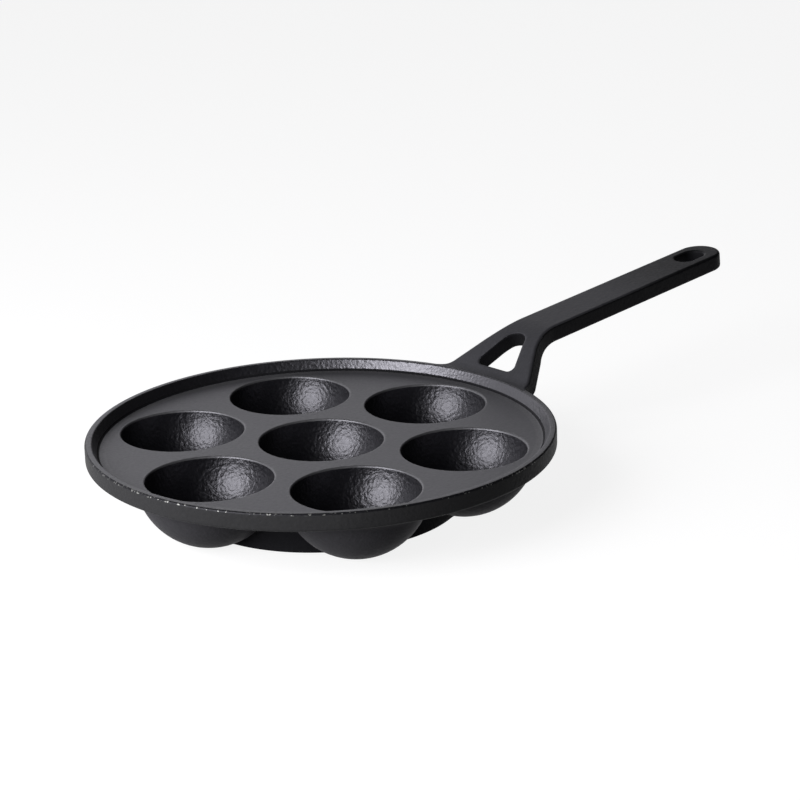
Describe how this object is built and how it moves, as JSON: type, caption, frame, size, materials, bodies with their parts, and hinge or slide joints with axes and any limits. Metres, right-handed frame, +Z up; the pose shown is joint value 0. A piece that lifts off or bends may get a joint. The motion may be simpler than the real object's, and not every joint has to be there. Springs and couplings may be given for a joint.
{
  "type": "paniyaram pan",
  "caption": "Cast iron pan with round hemispherical cups in a flat deck, a low rim, a ring of webs to stand on, and a forked handle with a hanging hole.",
  "frame": {"origin": "on the pan's upright axis, at the foot of the middle cup, in the plane that the pan stands on", "axes": "+Z up out of the cups, +X along the handle from the pan towards the grip's end"},
  "size_m": [0.4039, 0.228, 0.0686],
  "materials": {
    "deck_iron": "seasoned, fine sand grain",
    "rim_iron": "seasoned, fine sand grain, paler worn edges",
    "cup_iron": "seasoned, coarser sand grain with a soft sparkle",
    "underside_iron": "seasoned, matt",
    "handle_iron": "seasoned, fine sand grain"
  },
  "bodies": {
    "root": {"deck": "deck_iron", "rim": "rim_iron", "cup_center": "cup_iron", "cup_1": "cup_iron", "cup_2": "cup_iron", "cup_3": "cup_iron", "cup_4": "cup_iron", "cup_5": "cup_iron", "cup_6": "cup_iron", "web_1": "underside_iron", "web_2": "underside_iron", "web_3": "underside_iron", "web_4": "underside_iron", "web_5": "underside_iron", "web_6": "underside_iron", "handle_fork": "handle_iron", "handle_grip": "handle_iron"}
  },
  "joints": []
}
